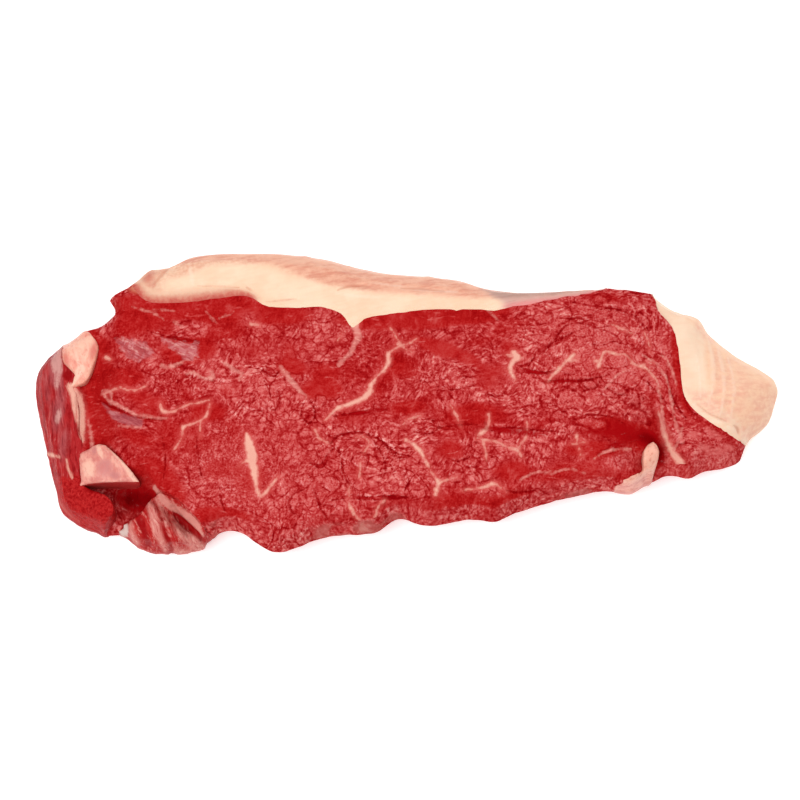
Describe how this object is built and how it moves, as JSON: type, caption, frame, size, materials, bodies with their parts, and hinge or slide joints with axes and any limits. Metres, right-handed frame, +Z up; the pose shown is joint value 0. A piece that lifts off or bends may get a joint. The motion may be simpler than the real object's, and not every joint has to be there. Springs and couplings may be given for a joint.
{
  "type": "raw beef striploin",
  "caption": "Raw beef striploin steak: a long slab of lean with a fat cap along one edge, tail fat at one end, a side muscle and small seam fat at the other.",
  "frame": {"origin": "on the resting face, under the middle of the steak's plan", "axes": "+X along the steak towards its fat tail, +Y towards the fat cap, +Z up out of the upper cut face"},
  "size_m": [0.2424, 0.0994, 0.0245],
  "materials": {
    "lean": "wet raw muscle, cherry red, fine open grain",
    "side_muscle": "wet raw muscle under a thin greyish film",
    "flap": "wet raw muscle streaked with pale fat and sinew",
    "fat_cap": "soft cream fat, satin, with a pinker outer skin",
    "tail_fat": "soft cream fat, satin, with a peach outer skin",
    "edge_fat": "soft pinkish fat, satin",
    "seam_fat": "soft pink seam fat, satin"
  },
  "bodies": {
    "root": {"lean": "lean", "side_muscle": "side_muscle", "flap": "flap", "fat_cap": "fat_cap", "tail_fat": "tail_fat", "edge_fat": "edge_fat", "seam_fat_upper": "seam_fat", "seam_fat_lower": "seam_fat"}
  },
  "joints": []
}
